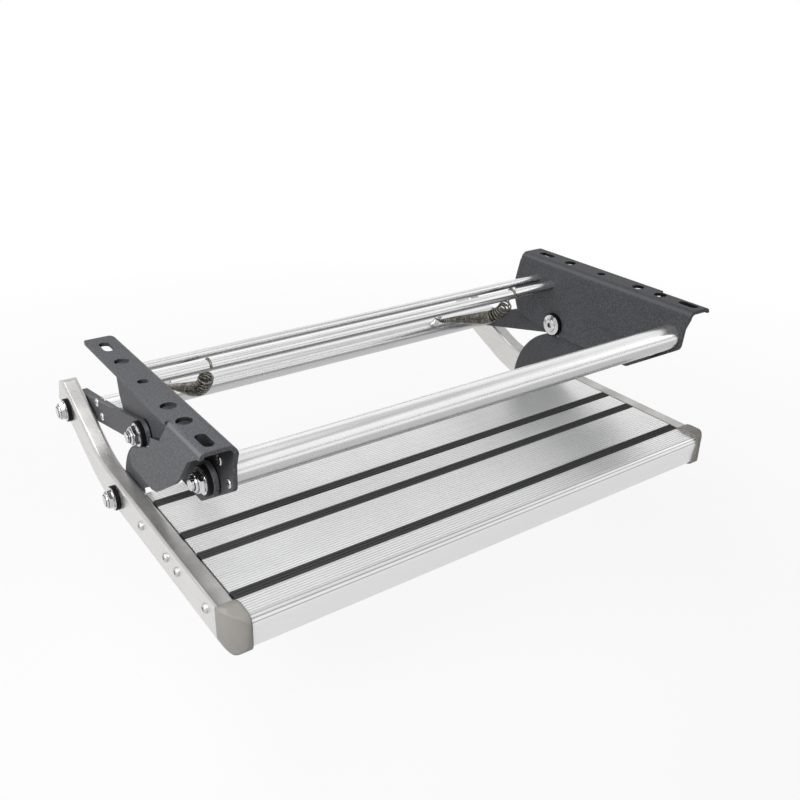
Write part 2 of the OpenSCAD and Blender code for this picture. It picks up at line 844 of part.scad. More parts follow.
module rail_solid() {
    mid_x = rail_x + rail_w / 2;
    reach = rail_bend_r * tan(rail_rise / 2);
    straight = rail_run - reach;
    rise_len = upper_pivot_run + rail_tail - reach;
    rise_start = bend_corner + reach * rise_dir;
    difference() {
        union() {
            along_y(0, straight) translate([mid_x, rail_axis_z]) rail_section();
            translate([mid_x, straight, rail_axis_z + rail_bend_r]) rotate([0, 90, 0])
                rotate_extrude(angle = rail_rise, $fn = 180)
                    translate([rail_bend_r, 0]) rotate(90) rail_section();
            translate([mid_x, rise_start[0], rise_start[1]]) rotate([rail_rise, 0, 0])
                difference() {
                    along_y(0, rise_len) rail_section();
                    // The upper corner of the rear end is rounded.
                    along_x(-rail_w, 2 * rail_w) difference() {
                        translate([rise_len - 9, rail_h / 2 - 9]) square(10);
                        translate([rise_len - 9, rail_h / 2 - 9]) circle(r = 9);
                    }
                }
        }
        for (at = [upper_local, lower_local])
            bar(at, bush_r, rail_x - 1, step_w / 2 + 1);
        for (run = screw_runs)
            bar([run, -screw_drop], screw_r, rail_x - 1, step_w / 2 + 1);
    }
}

module right_rail() {
    color(ANODISED) in_step() rail_solid();
}

module left_rail() {
    color(ANODISED) in_step() mirror([1, 0, 0]) rail_solid();
}

module tread_screws() {
    color(STAINLESS) in_step() both_sides() for (run = screw_runs) {
        bar([run, -screw_drop], screw_r, rail_x - screw_reach, step_w / 2);
        pan_head([run, -screw_drop], step_w / 2, head_d, screw_head_h);
    }
}

// Strip centres behind the nose, front to rear.
strip_runs = [33, 94.5, 130, 190.5];

// Side view of the tread's nose and body, in [y, z] of the step frame.
nose_r = 7.5;
function tread_outline(inset) = rounded([
    [-nose_len + inset, -inset, nose_r - inset],
    [-nose_len + 3.4 + inset, -tread_t + inset, 9 - inset],
    [tread_depth - nose_len - inset, -tread_t + inset, 2],
    [tread_depth - nose_len - inset, -inset, 1.5]
]);

// Groove between two ribs, open upwards.
module rib_groove(w) {
    polygon([
        [-w / 2, 0.1],
        [0, -rib_depth],
        [w / 2, 0.1]
    ]);
}

// Grooves of the top face, and three wider ones round the nose.
nose_groove_angles = [16, 41, 66];
nose_groove_w = 1.9;
module top_grooves() {
    first = -nose_len + nose_r + 0.5;
    last = tread_depth - nose_len - 4;
    for (y = [first:rib_pitch:last]) translate([y, 0]) rib_groove(groove_w);
    for (a = nose_groove_angles)
        translate([nose_r - nose_len, -nose_r]) rotate(90 - a)
            translate([0, nose_r]) rib_groove(nose_groove_w);
}

// Section of a grip strip and of its channel, undercut at the foot, up to the height top.
channel_lip = 1.2;
undercut = 1;
module channel_outline(run, top) {
    half = strip_w / 2;
    foot = half + undercut;
    translate([run - nose_len, 0]) polygon([
        [-half, top],
        [-half, -channel_lip],
        [-foot, -channel_lip - undercut],
        [-foot, -channel_depth],
        [foot, -channel_depth],
        [foot, -channel_lip - undercut],
        [half, -channel_lip],
        [half, top]
    ]);
}

// Section of the tread extrusion: skin, webs, channels and screw ports.
module tread_section() {
    port_r = screw_r + 2;
    floor_z = -tread_t + skin_t;
    difference() {
        polygon(tread_outline(0));
        difference() {
            polygon(tread_outline(skin_t));
            // Webs stand under each channel and carry its trough.
            for (run = strip_runs) {
                translate([run - nose_len - skin_t / 2, floor_z]) square([skin_t, tread_t]);
                translate([run - nose_len - strip_w / 2 - 3, -channel_depth - skin_t])
                    square([strip_w + 6, tread_t]);
            }
            for (run = screw_runs) {
                translate([run, -screw_drop]) circle(r = port_r);
                translate([run - 1, -screw_drop]) square([2, screw_drop]);
            }
        }
        for (run = screw_runs) translate([run, -screw_drop]) circle(r = screw_r);
        top_grooves();
        for (run = strip_runs) channel_outline(run, 1);
    }
}

module tread() {
    color(ANODISED) in_step() along_x(-rail_x, 2 * rail_x) tread_section();
}

// Section of a grip strip, with two shallow grooves in its top.
strip_groove_r = 0.5;
module strip_section(run) {
    difference() {
        channel_outline(run, strip_proud);
        for (i = [-1, 1]) translate([run - nose_len + i * strip_w / 6, strip_proud])
            circle(r = strip_groove_r, $fn = 16);
    }
}

module grip_strip(i) {
    color(RUBBER) in_step() along_x(-rail_x, 2 * rail_x) strip_section(strip_runs[i]);
}

// End cap: it closes the rail's front end and stands a little proud of the nose,
// rounded to the front, to the side and along its upper and lower edges.
cap_lift = 3.6;
cap_reach = nose_len + 1.4;
cap_drop = tread_t + 1.4;
cap_edge_r = 6;
plug_len = 14;

module end_cap_solid() {
    cap_out_x = rail_x + rail_w + 0.4;
    plug_w = rail_w - 2 * rail_wall;
    plug_h = rail_h - 2 * rail_wall;
    intersection() {
        along_x(rail_x, rail_w + 1) polygon(rounded([
            [0, 0.4, 0],
            [-9, cap_lift, 12],
            [-cap_reach, cap_lift - 0.6, 9],
            [-cap_reach + 1.6, -cap_drop, 11],
            [0, -rail_h, 0]
        ]));
        translate([0, 0, -2 * rail_h]) linear_extrude(3 * rail_h) polygon(concat(
            [[rail_x, 0]],
            [for (a = [0:7.5:90])
                [rail_x + (cap_out_x - rail_x) * cos(a), -cap_reach * sin(a)]]
        ));
        along_y(-2 * nose_len, 2 * nose_len) polygon(rounded([
            [rail_x, -cap_drop, 0],
            [cap_out_x, -cap_drop, cap_edge_r],
            [cap_out_x, cap_lift, cap_edge_r],
            [rail_x, cap_lift, 0]
        ]));
    }
    along_y(0, plug_len) translate([rail_x + rail_w / 2, rail_axis_z])
        rounded_box(plug_w, plug_h, rail_round - rail_wall);
}

module right_end_cap() {
    color(CAP_GREY) in_step() end_cap_solid();
}

module left_end_cap() {
    color(CAP_GREY) in_step() mirror([1, 0, 0]) end_cap_solid();
}

// Where a spring's lower loop holds its post, in [y, z].
post_dir = [cos(rear_angle + post_angle), sin(rear_angle + post_angle)];
rear_tube_at = rear_pivot
    + rear_tube_along * [cos(rear_angle), sin(rear_angle)]
    + rear_tube_lift * [-sin(rear_angle), cos(rear_angle)];
post_seat = rear_tube_at + (rear_tube_r + groove_h) * post_dir;

// Point of a cubic curve with the control points p.
function bezier(p, t) =
    pow(1 - t, 3) * p[0] + 3 * pow(1 - t, 2) * t * p[1]
    + 3 * (1 - t) * t * t * p[2] + pow(t, 3) * p[3];

function slope(p, t) =
    3 * (pow(1 - t, 2) * (p[1] - p[0]) + 2 * (1 - t) * t * (p[2] - p[1])
    + t * t * (p[3] - p[2]));

// Radius of the coils along the spring: narrow at both ends, full in the body.
function coil_radius(t) =
    let (rise = min(1, 0.8 + t * 4), fall = min(1, 0.22 + (1 - t) * 1.62))
    coil_r * rise * fall;

// Share of the turns wound up to t: open coils first, close coils after.
open_share = 0.36;
open_turns = 7;
function wound(t) =
    t < open_share
        ? open_turns * t / open_share
        : open_turns + (spring_turns - open_turns) * (t - open_share) / (1 - open_share);

steps_per_turn = 10;

// Centre line of the spring wire, from the hook on the rod to the loop on the post.
function spring_wire(hook_x, post_x) =
    let (
        hook_r = lower_rod_r + wire_r + pin_clear,
        rod_c = [hook_x, lower_rod_at[0], lower_rod_at[1]],
        seat = [post_x, post_seat[0], post_seat[1]],
        across = [0, post_dir[1], -post_dir[0]],
        start = rod_c + [0, 7.7, -12.2],
        goal = seat - 1.5 * loop_r * across,
        drift = goal - start,
        p = [
            start,
            start + [0, 10, -28],
            start + [0.5 * drift[0], 0.48 * drift[1], 0.6 * drift[2]],
            goal
        ],
        n = spring_turns * steps_per_turn
    )
    concat(
        [for (a = [190:-21:-20]) rod_c + hook_r * [0, cos(a), sin(a)]],
        [for (i = [1:n - 1])
            let (
                t = i / n,
                dir = unit(slope(p, t)),
                side = unit(cross(dir, [1, 0, 0])),
                other = cross(dir, side),
                phi = 360 * wound(t),
                r = coil_radius(t)
            )
            bezier(p, t) + r * (cos(phi) * side + sin(phi) * other)],
        [for (a = [200:30:470]) seat + loop_r * (sin(a) * [1, 0, 0] + cos(a) * across)]
    );

// Ring normals that turn as little as possible along the wire.
function ring_frames(w) =
    let (n = len(w), first = unit(cross(unit(w[1] - w[0]), [1, 0.2, 0.1])))
    [for (
        i = 0, nrm = first;
        i < n;
        i = i + 1,
        dir = unit(w[min(i + 1, n - 1)] - w[max(min(i - 1, n - 2), 0)]),
        nrm = unit(nrm - (nrm * dir) * dir)
    ) nrm];

wire_sides = 6;

// Round wire swept along the points w.
module swept_wire(w) {
    n = len(w);
    frames = ring_frames(w);
    points = [for (i = [0:n - 1])
        let (
            dir = unit(w[min(i + 1, n - 1)] - w[max(i - 1, 0)]),
            u = unit(frames[i] - (frames[i] * dir) * dir),
            v = cross(dir, u)
        )
        for (k = [0:wire_sides - 1])
            w[i] + wire_r * (cos(360 * k / wire_sides) * u + sin(360 * k / wire_sides) * v)];
    faces = concat(
        [[for (k = [0:wire_sides - 1]) k]],
        [for (i = [0:n - 2], k = [0:wire_sides - 1])
            let (a = i * wire_sides + k, b = i * wire_sides + (k + 1) % wire_sides)
            each [[a, a + wire_sides, b + wire_sides], [a, b + wire_sides, b]]],
        [[for (k = [wire_sides - 1:-1:0]) (n - 1) * wire_sides + k]]
    );
    polyhedron(points, faces, convexity = 10);
}

module right_spring() {
    color(SPRING_STEEL) swept_wire(spring_wire(right_hook_x, right_post_x));
}

module left_spring() {
    color(SPRING_STEEL) swept_wire(spring_wire(-left_hook_x, -left_post_x));
}

left_bracket();
right_bracket();
front_cross_tube();
front_tube_screws();
upper_rod();
lower_rod();
bracket_pivot_bolts();
bracket_pivot_bushes();
bracket_pivot_washers();
bracket_pivot_nuts();
left_rear_link();
right_rear_link();
rear_cross_tube();
rear_tube_screws();
spring_posts();
rear_link_bushes();
upper_pivot_bolts();
upper_pivot_washers();
upper_pivot_nuts();
left_front_link();
right_front_link();
front_link_bushes();
lower_pivot_heads();
left_rail();
right_rail();
tread();
grip_strip(0);  // grip_strip_1
grip_strip(1);  // grip_strip_2
grip_strip(2);  // grip_strip_3
grip_strip(3);  // grip_strip_4
left_end_cap();
right_end_cap();
tread_screws();
upper_rail_bushes();
lower_rail_bushes();
lower_pivot_bolts();
lower_pivot_washers();
lower_pivot_nuts();
left_spring();
right_spring();
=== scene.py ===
"""Dressed model of a fold-out entry step, built round its packed construction frame.

Each sub-assembly is a class that builds its extra meshes and dresses the frame's nodes.
Lengths inside the classes are millimetres, as in the part's source, and are brought to
metres when a mesh is made.
"""

import json
import logging
import math
from dataclasses import dataclass, replace
from enum import Enum
from typing import Any, Callable, Iterable, Optional, Sequence

import bmesh
import bpy
from mathutils import Matrix, Vector

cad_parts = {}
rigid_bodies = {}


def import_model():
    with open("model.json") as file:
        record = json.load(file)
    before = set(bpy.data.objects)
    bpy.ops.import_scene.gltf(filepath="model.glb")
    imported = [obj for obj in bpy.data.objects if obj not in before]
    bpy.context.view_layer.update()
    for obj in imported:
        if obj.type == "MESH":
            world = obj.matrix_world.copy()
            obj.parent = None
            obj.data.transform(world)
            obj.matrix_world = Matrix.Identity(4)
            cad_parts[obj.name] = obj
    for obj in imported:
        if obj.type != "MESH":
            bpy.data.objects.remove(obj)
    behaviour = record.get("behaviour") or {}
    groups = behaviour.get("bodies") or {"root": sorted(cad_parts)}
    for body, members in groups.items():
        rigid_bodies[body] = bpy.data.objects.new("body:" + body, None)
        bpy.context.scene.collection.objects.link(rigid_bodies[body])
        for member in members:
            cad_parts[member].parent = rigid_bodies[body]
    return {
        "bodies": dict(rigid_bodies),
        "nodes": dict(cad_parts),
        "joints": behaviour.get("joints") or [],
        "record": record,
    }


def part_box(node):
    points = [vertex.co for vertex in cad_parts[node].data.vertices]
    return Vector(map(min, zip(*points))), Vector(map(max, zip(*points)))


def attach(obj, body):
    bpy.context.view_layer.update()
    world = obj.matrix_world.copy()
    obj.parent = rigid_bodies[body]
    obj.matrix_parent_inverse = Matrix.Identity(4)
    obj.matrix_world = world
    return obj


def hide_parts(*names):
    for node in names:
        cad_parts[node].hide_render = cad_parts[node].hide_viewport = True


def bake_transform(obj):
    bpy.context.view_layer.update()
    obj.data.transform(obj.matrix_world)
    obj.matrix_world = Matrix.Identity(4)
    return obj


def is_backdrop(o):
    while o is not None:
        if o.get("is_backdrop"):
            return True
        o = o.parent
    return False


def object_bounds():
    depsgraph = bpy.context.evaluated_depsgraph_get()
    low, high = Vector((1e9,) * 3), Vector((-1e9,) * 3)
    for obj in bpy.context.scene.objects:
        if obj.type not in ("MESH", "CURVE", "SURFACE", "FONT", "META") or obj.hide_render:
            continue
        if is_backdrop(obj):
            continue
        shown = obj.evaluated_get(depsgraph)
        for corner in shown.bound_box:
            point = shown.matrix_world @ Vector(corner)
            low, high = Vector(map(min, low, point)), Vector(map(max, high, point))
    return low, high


LOG = logging.getLogger("folding_step")
MM = 0.001

Colour = tuple[float, float, float]
Point = tuple[float, float]
Frame = dict[str, Any]


class Body(Enum):
    """Bodies of the linkage."""

    BRACKETS = "brackets"
    REAR_LINKS = "rear_links"
    FRONT_LINKS = "front_links"
    STEP = "step"


class Slot(Enum):
    """Material slots of the part."""

    POWDER = "powder_coat"
    ANODISED = "anodised"
    STAINLESS = "stainless"
    NYLON = "nylon"
    RUBBER = "strip_rubber"
    CAP = "cap_plastic"
    SPRING = "spring_steel"


class Grain(Enum):
    """Direction in which a metal surface was brushed or drawn, as noise scales per metre."""

    ALONG_X = (6.0, 900.0, 900.0)
    ALONG_Y = (900.0, 9.0, 900.0)
    NONE = (160.0, 160.0, 160.0)


class Graph:
    """Node tree of one material, with short calls for the nodes that the finishes share."""

    def __init__(self, name: str) -> None:
        """Makes an empty material with its surface shader.

        Args:
            name: Name of the material.
        """
        self.material = bpy.data.materials.new(name)
        self.material.use_nodes = True
        self.tree = self.material.node_tree
        self.surface = self.tree.nodes["Principled BSDF"]

    def add(self, kind: str, settings: Optional[dict[str, Any]] = None,
            inputs: Optional[dict[Any, Any]] = None) -> bpy.types.Node:
        """Adds a node.

        Args:
            kind: Blender's name of the node type.
            settings: Values of the node's own properties.
            inputs: Values or sockets for its inputs, by name or number.

        Returns:
            The new node.
        """
        node = self.tree.nodes.new(kind)
        for key, value in (settings or {}).items():
            setattr(node, key, value)
        for key, value in (inputs or {}).items():
            if isinstance(value, bpy.types.NodeSocket):
                self.tree.links.new(value, node.inputs[key])
            else:
                node.inputs[key].default_value = value
        return node

    def place(self, scales: Sequence[float]) -> bpy.types.NodeSocket:
        """Object coordinates, scaled.

        Args:
            scales: Scale per metre along X, Y and Z.

        Returns:
            The vector socket.
        """
        source = self.add("ShaderNodeTexCoord").outputs["Object"]
        mapping = self.add("ShaderNodeMapping", inputs={"Vector": source, "Scale": tuple(scales)})
        return mapping.outputs["Vector"]

    def noise(self, scales: Sequence[float], detail: float = 3.0,
              rough: float = 0.55) -> bpy.types.NodeSocket:
        """Noise in object space.

        Args:
            scales: Scale per metre along X, Y and Z.
            detail: Octaves.
            rough: Share of the finer octaves.

        Returns:
            The value socket, about 0 to 1.
        """
        node = self.add("ShaderNodeTexNoise", inputs={
            "Vector": self.place(scales), "Scale": 1.0, "Detail": detail, "Roughness": rough})
        return node.outputs["Fac"]

    def span(self, value: bpy.types.NodeSocket, low: float, high: float,
             out_low: float, out_high: float) -> bpy.types.NodeSocket:
        """Maps a value from one range to another, and clamps it.

        Args:
            value: Socket with the value.
            low: Value that gives out_low.
            high: Value that gives out_high.
            out_low: Result at low.
            out_high: Result at high.

        Returns:
            The mapped value.
        """
        node = self.add("ShaderNodeMapRange", inputs={
            "Value": value, "From Min": low, "From Max": high,
            "To Min": out_low, "To Max": out_high})
        return node.outputs["Result"]

    def mix(self, share: bpy.types.NodeSocket, first: Any, second: Any) -> bpy.types.NodeSocket:
        """Mixes two colours.

        Args:
            share: Share of the second colour.
            first: Colour or socket.
            second: Colour or socket.

        Returns:
            The mixed colour.
        """
        node = self.add("ShaderNodeMix", {"data_type": "RGBA"})
        self.tree.links.new(share, node.inputs["Factor"])
        for key, value in ((6, first), (7, second)):
            if isinstance(value, bpy.types.NodeSocket):
                self.tree.links.new(value, node.inputs[key])
            else:
                node.inputs[key].default_value = (*value, 1.0)
        return node.outputs[2]

    def math(self, kind: str, first: Any, second: Any = 0.0) -> bpy.types.NodeSocket:
        """One step of arithmetic.

        Args:
            kind: Operation of the math node.
            first: Value or socket.
            second: Value or socket.

        Returns:
            The result.
        """
        node = self.add("ShaderNodeMath", {"operation": kind}, {0: first, 1: second})
        return node.outputs[0]

    def soft_edges(self, radius: float) -> bpy.types.NodeSocket:
        """Normal with the sharp edges rounded off.

        Args:
            radius: Radius of the rounding in millimetres.

        Returns:
            The normal.
        """
        node = self.add("ShaderNodeBevel", {"samples": 6}, {"Radius": radius * MM})
        return node.outputs["Normal"]

    def edge_share(self, rounded: bpy.types.NodeSocket, reach: float) -> bpy.types.NodeSocket:
        """Mask that is 1 on sharp edges and 0 on flat faces.

        Args:
            rounded: Normal with rounded edges.
            reach: Difference of the normals that counts as a full edge.

        Returns:
            The mask.
        """
        flat = self.add("ShaderNodeNewGeometry").outputs["Normal"]
        dot = self.add("ShaderNodeVectorMath", {"operation": "DOT_PRODUCT"},
                       {0: rounded, 1: flat})
        return self.span(dot.outputs["Value"], 1.0 - reach, 1.0 - 0.1 * reach, 1.0, 0.0)

    def crevices(self, reach: float, own_piece: bool = True,
                 full: float = 0.45) -> bpy.types.NodeSocket:
        """Ambient-occlusion mask, 1 deep in grooves and inner corners and 0 on open faces; finishes
        paint shade with it.

        Args:
            reach: How far a face looks for its neighbours, in millimetres.
            own_piece: Whether it looks at its own piece only.
            full: Share of open sky at which the mask is 1.

        Returns:
            The mask.
        """
        node = self.add("ShaderNodeAmbientOcclusion", {"samples": 6, "only_local": own_piece},
                        {"Distance": reach * MM})
        return self.span(node.outputs["AO"], full, 0.92, 1.0, 0.0)

    def facing_up(self, start: float, full: float) -> bpy.types.NodeSocket:
        """Mask of the faces whose normal points up in the part's own frame.

        Args:
            start: Upward share of the normal where the mask starts.
            full: Upward share of the normal where the mask is 1.

        Returns:
            The mask.
        """
        normal = self.add("ShaderNodeTexCoord").outputs["Normal"]
        parts = self.add("ShaderNodeSeparateXYZ", inputs={0: normal})
        return self.span(parts.outputs["Z"], start, full, 0.0, 1.0)

    def bump(self, height: bpy.types.NodeSocket, depth: float, strength: float,
             normal: Optional[bpy.types.NodeSocket] = None) -> bpy.types.NodeSocket:
        """Relief from a height.

        Args:
            height: Height, about 0 to 1.
            depth: Depth in millimetres.
            strength: Strength from 0 to 1.
            normal: Normal that the relief lies on.

        Returns:
            The new normal.
        """
        node = self.add("ShaderNodeBump", inputs={
            "Height": height, "Distance": depth * MM, "Strength": strength})
        if normal is not None:
            self.tree.links.new(normal, node.inputs["Normal"])
        return node.outputs["Normal"]

    def drive(self, socket: str, value: bpy.types.NodeSocket) -> None:
        """Feeds an input of the surface shader.

        Args:
            socket: Name of the shader's input.
            value: Socket that feeds it.
        """
        self.tree.links.new(value, self.surface.inputs[socket])


@dataclass(frozen=True)
class Finish:
    """A finish with a colour, gloss and metal share; the kinds below add its detail."""

    name: str
    slot: Slot
    colour: Colour
    roughness: float
    metallic: float = 0.0
    gloss: float = 0.5

    def make(self) -> bpy.types.Material:
        """Makes the material.

        Returns:
            The material, with its detail.
        """
        graph = Graph(self.name)
        graph.surface.inputs["Base Color"].default_value = (*self.colour, 1.0)
        graph.surface.inputs["Roughness"].default_value = self.roughness
        graph.surface.inputs["Metallic"].default_value = self.metallic
        graph.surface.inputs["Specular IOR Level"].default_value = self.gloss
        graph.material.diffuse_color = (*self.colour, 1.0)
        self.detail(graph)
        return graph.material

    def shade(self, factor: float) -> Colour:
        """The finish's colour, lighter or darker by a factor."""
        return tuple(min(1.0, channel * factor) for channel in self.colour)

    def detail(self, graph: Graph) -> None:
        """Adds colour variation, roughness variation and relief.

        Args:
            graph: Node tree of the material.
        """
        raise NotImplementedError


@dataclass(frozen=True)
class PowderCoat(Finish):
    """Baked powder paint: fine orange peel, painted highlights on edges and bends, painted shade in
    hollows.
    """

    grain_per_metre: float = 1500.0
    edge_mm: float = 0.5
    edge_gain: float = 1.8
    hollow_mm: float = 55.0
    hollow_painted_shade: float = 0.12
    bend_painted_highlight: float = 1.5

    def detail(self, graph: Graph) -> None:
        """Adds the peel, the cloudiness, painted edge and bend highlights and painted shade in the
        hollows.
        """
        fine = graph.noise([self.grain_per_metre] * 3, 2.0, 0.6)
        grit = graph.noise([0.45 * self.grain_per_metre] * 3, 1.0, 0.5)
        peel = graph.noise([420.0] * 3, 2.0)
        cloud = graph.noise([16.0] * 3, 3.0)
        rounded = graph.soft_edges(self.edge_mm)
        edge = graph.edge_share(rounded, 0.12)
        body = graph.mix(graph.span(cloud, 0.3, 0.7, 0.0, 1.0), self.shade(0.9), self.shade(1.1))
        speck = graph.mix(graph.span(fine, 0.35, 0.7, 0.0, 1.0), self.shade(0.84), body)
        speck = graph.mix(graph.span(grit, 0.52, 0.72, 0.0, 0.8), speck, self.shade(1.5))
        speck = graph.mix(graph.span(grit, 0.48, 0.3, 0.0, 0.8), speck, self.shade(0.55))
        # painted highlight along the bends: faces between upright and flat are lightened
        bend_highlight = graph.math("MULTIPLY", graph.facing_up(0.42, 0.62), graph.facing_up(0.93, 0.78))
        speck = graph.mix(bend_highlight, speck, self.shade(self.bend_painted_highlight))
        # painted shade in the piece's hollows, from ambient occlusion
        speck = graph.mix(graph.crevices(self.hollow_mm, full=0.6), speck,
                          self.shade(self.hollow_painted_shade))
        # painted highlight on the sharp edges, broken up by the peel noise
        edge_highlight = graph.math("MULTIPLY", edge, graph.span(peel, 0.35, 0.65, 0.25, 0.8))
        graph.drive("Base Color", graph.mix(edge_highlight, speck, self.shade(self.edge_gain)))
        graph.drive("Roughness", graph.span(fine, 0.3, 0.7, self.roughness - 0.07,
                                            self.roughness + 0.09))
        height = graph.math("ADD", graph.math("MULTIPLY", fine, 0.6), peel)
        graph.drive("Normal", graph.bump(height, 0.12, 0.35, rounded))


@dataclass(frozen=True)
class BrushedMetal(Finish):
    """Extruded and anodised metal with drawing lines, and a painted darker reflection on its top
    face if wanted.
    """

    grain: Grain = Grain.ALONG_X
    line_depth: float = 0.03
    top_painted_reflection: float = 1.0
    edge_mm: float = 0.4
    groove_painted_shade: float = 0.45
    groove_reach: float = 1.4
    underside_painted_reflection: float = 1.0
    under_from: tuple[float, float] = (-0.3, -0.16)
    edge_gain: float = 1.1
    streak: float = 0.0
    cut_depth: float = 0.0

    def detail(self, graph: Graph) -> None:
        """Adds the drawing lines, soft stains, painted edge light, painted groove shade and painted
        darker reflections.
        """
        lines = graph.noise(self.grain.value, 4.0, 0.65)
        cloud = graph.noise([22.0, 22.0, 22.0], 3.0)
        rounded = graph.soft_edges(self.edge_mm)
        edge = graph.edge_share(rounded, 0.15)
        body = graph.mix(graph.span(lines, 0.3, 0.7, 0.0, 1.0), self.shade(0.9), self.shade(1.04))
        body = graph.mix(graph.span(cloud, 0.35, 0.7, 0.0, 0.35), body, self.shade(0.84))
        if self.streak:
            drawn = graph.noise((2.0, 330.0, 330.0), 2.0)
            body = graph.mix(graph.span(drawn, 0.38, 0.62, 0.0, self.streak), body,
                             self.shade(0.62))
        # painted reflection of a darker floor: the underside is darker
        if self.underside_painted_reflection != 1.0:
            body = graph.mix(graph.facing_up(*self.under_from), self.shade(self.underside_painted_reflection), body)
        # painted reflection on the top face: darker and mottled
        if self.top_painted_reflection != 1.0:
            top = graph.facing_up(0.55, 0.92)
            mottled_top_reflection = graph.mix(graph.span(cloud, 0.4, 0.65, 0.0, 1.0),
                                self.shade(self.top_painted_reflection * 0.85), self.shade(self.top_painted_reflection * 1.2))
            body = graph.mix(top, body, mottled_top_reflection)
        # painted light on the sharp edges: a highlight above 1, a dark edge line below 1
        body = graph.mix(edge, body, self.shade(self.edge_gain))
        # painted shade in the grooves and inner corners; the same mask gives the bump
        groove_shade_and_relief = self.grooves(graph)
        graph.drive("Base Color", graph.mix(groove_shade_and_relief, body, self.shade(self.groove_painted_shade)))
        if self.cut_depth:
            rounded = graph.bump(graph.math("SUBTRACT", 1.0, groove_shade_and_relief), self.cut_depth, 0.8, rounded)
        graph.drive("Roughness", graph.span(lines, 0.25, 0.75, self.roughness - 0.06,
                                            self.roughness + 0.08))
        graph.drive("Normal", graph.bump(lines, self.line_depth, 0.3, rounded))

    def grooves(self, graph: Graph) -> bpy.types.NodeSocket:
        """Mask of the grooves and inner corners, where the finish paints shade."""
        return graph.crevices(self.groove_reach)


@dataclass(frozen=True)
class RibbedMetal(BrushedMetal):
    """Ribbed extrusion with painted shade in the grooves of its top, and painted shade lines for
    fine grooves round its nose.
    """

    front: float = 0.0
    top: float = 0.0
    nose_r: float = 7.5
    groove_span: tuple[float, float] = (0.12, 0.42)
    groove_shade_share: float = 0.8
    nose_lines: tuple[float, ...] = (20.0, 45.0, 69.0)
    line_half: float = 6.5

    def grooves(self, graph: Graph) -> bpy.types.NodeSocket:
        """Mask of what lies under the skin that the tops of the ribs share, and of the nose lines:
        where the finish paints shade.

        Args:
            graph: Node tree of the material.

        Returns:
            The mask.
        """
        radius = self.nose_r * MM
        at = graph.add("ShaderNodeSeparateXYZ", inputs={0: graph.place((1.0, 1.0, 1.0))})
        ahead = graph.math("MINIMUM", graph.math("SUBTRACT", at.outputs["Y"],
                                                 self.front + radius), 0.0)
        above = graph.math("SUBTRACT", at.outputs["Z"], self.top - radius)
        out = graph.math("SQRT", graph.math("ADD", graph.math("MULTIPLY", ahead, ahead),
                                            graph.math("MULTIPLY", above, above)))
        depth = graph.math("SUBTRACT", radius, out)
        low, high = (value * MM for value in self.groove_span)
        groove_shade_and_relief = graph.math("MULTIPLY", graph.span(depth, low, high, 0.0, self.groove_shade_share),
                         graph.span(above, 0.0, 0.2 * MM, 0.0, 1.0))
        turn = graph.math("DEGREES", graph.math("ARCTAN2", above,
                                                graph.math("MULTIPLY", ahead, -1.0)))
        # painted shade lines round the nose, at these angles
        for line in self.nose_lines:
            off = graph.math("ABSOLUTE", graph.math("SUBTRACT", turn, line))
            groove_shade_and_relief = graph.math("MAXIMUM", groove_shade_and_relief, graph.span(off, 0.4 * self.line_half,
                                                        self.line_half, 1.0, 0.0))
        return groove_shade_and_relief


@dataclass(frozen=True)
class BrightSteel(Finish):
    """Polished fastener steel with faint scuffs and rounded edges."""

    scuff_per_metre: float = 700.0

    def detail(self, graph: Graph) -> None:
        """Adds scuffs to the gloss, a soft relief, paler edges and painted shade in the crevices.
        """
        scuff = graph.noise([self.scuff_per_metre] * 3, 3.0, 0.6)
        cloud = graph.noise([90.0] * 3, 2.0)
        rounded = graph.soft_edges(0.35)
        edge = graph.edge_share(rounded, 0.2)
        body = graph.mix(graph.span(cloud, 0.35, 0.65, 0.0, 1.0), self.shade(0.86), self.colour)
        body = graph.mix(edge, body, self.shade(1.15))
        # painted shade in the piece's crevices, from ambient occlusion
        graph.drive("Base Color", graph.mix(graph.crevices(3.2), body, self.shade(0.07)))
        graph.drive("Roughness", graph.span(scuff, 0.3, 0.7, self.roughness - 0.05,
                                            self.roughness + 0.12))
        graph.drive("Normal", graph.bump(scuff, 0.03, 0.25, rounded))


@dataclass(frozen=True)
class MouldedPlastic(Finish):
    """Moulded plastic with an eroded grain and slightly cloudy colour."""

    grain_per_metre: float = 1100.0
    grain_depth: float = 0.06
    edge_mm: float = 0.5
    edge_gain: float = 1.18
    seam_mm: float = 0.0
    seam_painted_shade: float = 0.15

    def detail(self, graph: Graph) -> None:
        """Adds the mould's grain, paler edges, and painted shade at the seams where asked."""
        grain = graph.noise([self.grain_per_metre] * 3, 3.0, 0.6)
        cloud = graph.noise([40.0] * 3, 3.0)
        rounded = graph.soft_edges(self.edge_mm)
        edge = graph.edge_share(rounded, 0.15)
        body = graph.mix(graph.span(cloud, 0.3, 0.7, 0.0, 1.0), self.shade(0.93), self.shade(1.05))
        body = graph.mix(graph.math("MULTIPLY", edge, 0.5), body, self.shade(self.edge_gain))
        # painted shade where the piece meets its neighbours, from ambient occlusion
        if self.seam_mm:
            body = graph.mix(graph.crevices(self.seam_mm, False, 0.6), body,
                             self.shade(self.seam_painted_shade))
        graph.drive("Base Color", body)
        graph.drive("Roughness", graph.span(grain, 0.3, 0.7, self.roughness - 0.06,
                                            self.roughness + 0.1))
        graph.drive("Normal", graph.bump(grain, self.grain_depth, 0.4, rounded))


